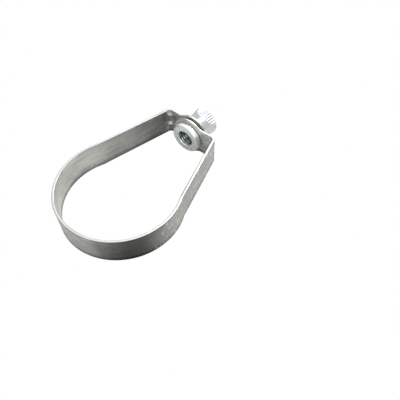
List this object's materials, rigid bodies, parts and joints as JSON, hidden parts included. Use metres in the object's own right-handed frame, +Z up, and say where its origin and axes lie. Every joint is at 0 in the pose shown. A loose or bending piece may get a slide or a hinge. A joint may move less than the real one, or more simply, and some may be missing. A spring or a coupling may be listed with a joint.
{
  "type": "swivel ring hanger",
  "caption": "Pear-shaped strip-steel ring hanger with overlapped ends and a captive threaded swivel nut, to hang a pipe from a threaded rod.",
  "frame": {"origin": "centre of the pipe that the ring holds, in the middle of the strip's width", "axes": "+Y along the pipe, +Z up the threaded rod, so the ring's plane is XZ"},
  "size_m": [0.065, 0.0214, 0.1022],
  "materials": {
    "galvanised_strip": "galvanised, dull satin with fine lengthwise grain",
    "zinc_plated_nut": "bright zinc plate over a turned surface"
  },
  "bodies": {
    "nut": {"swivel_nut": "zinc_plated_nut"},
    "ring": {"band": "galvanised_strip"}
  },
  "joints": [
    {"name": "ring_swivel", "type": "hinge", "parent": "nut", "child": "ring", "pos_m": [0, 0, 0.05625], "axis": [0, 0, 1], "continuous": true}
  ]
}
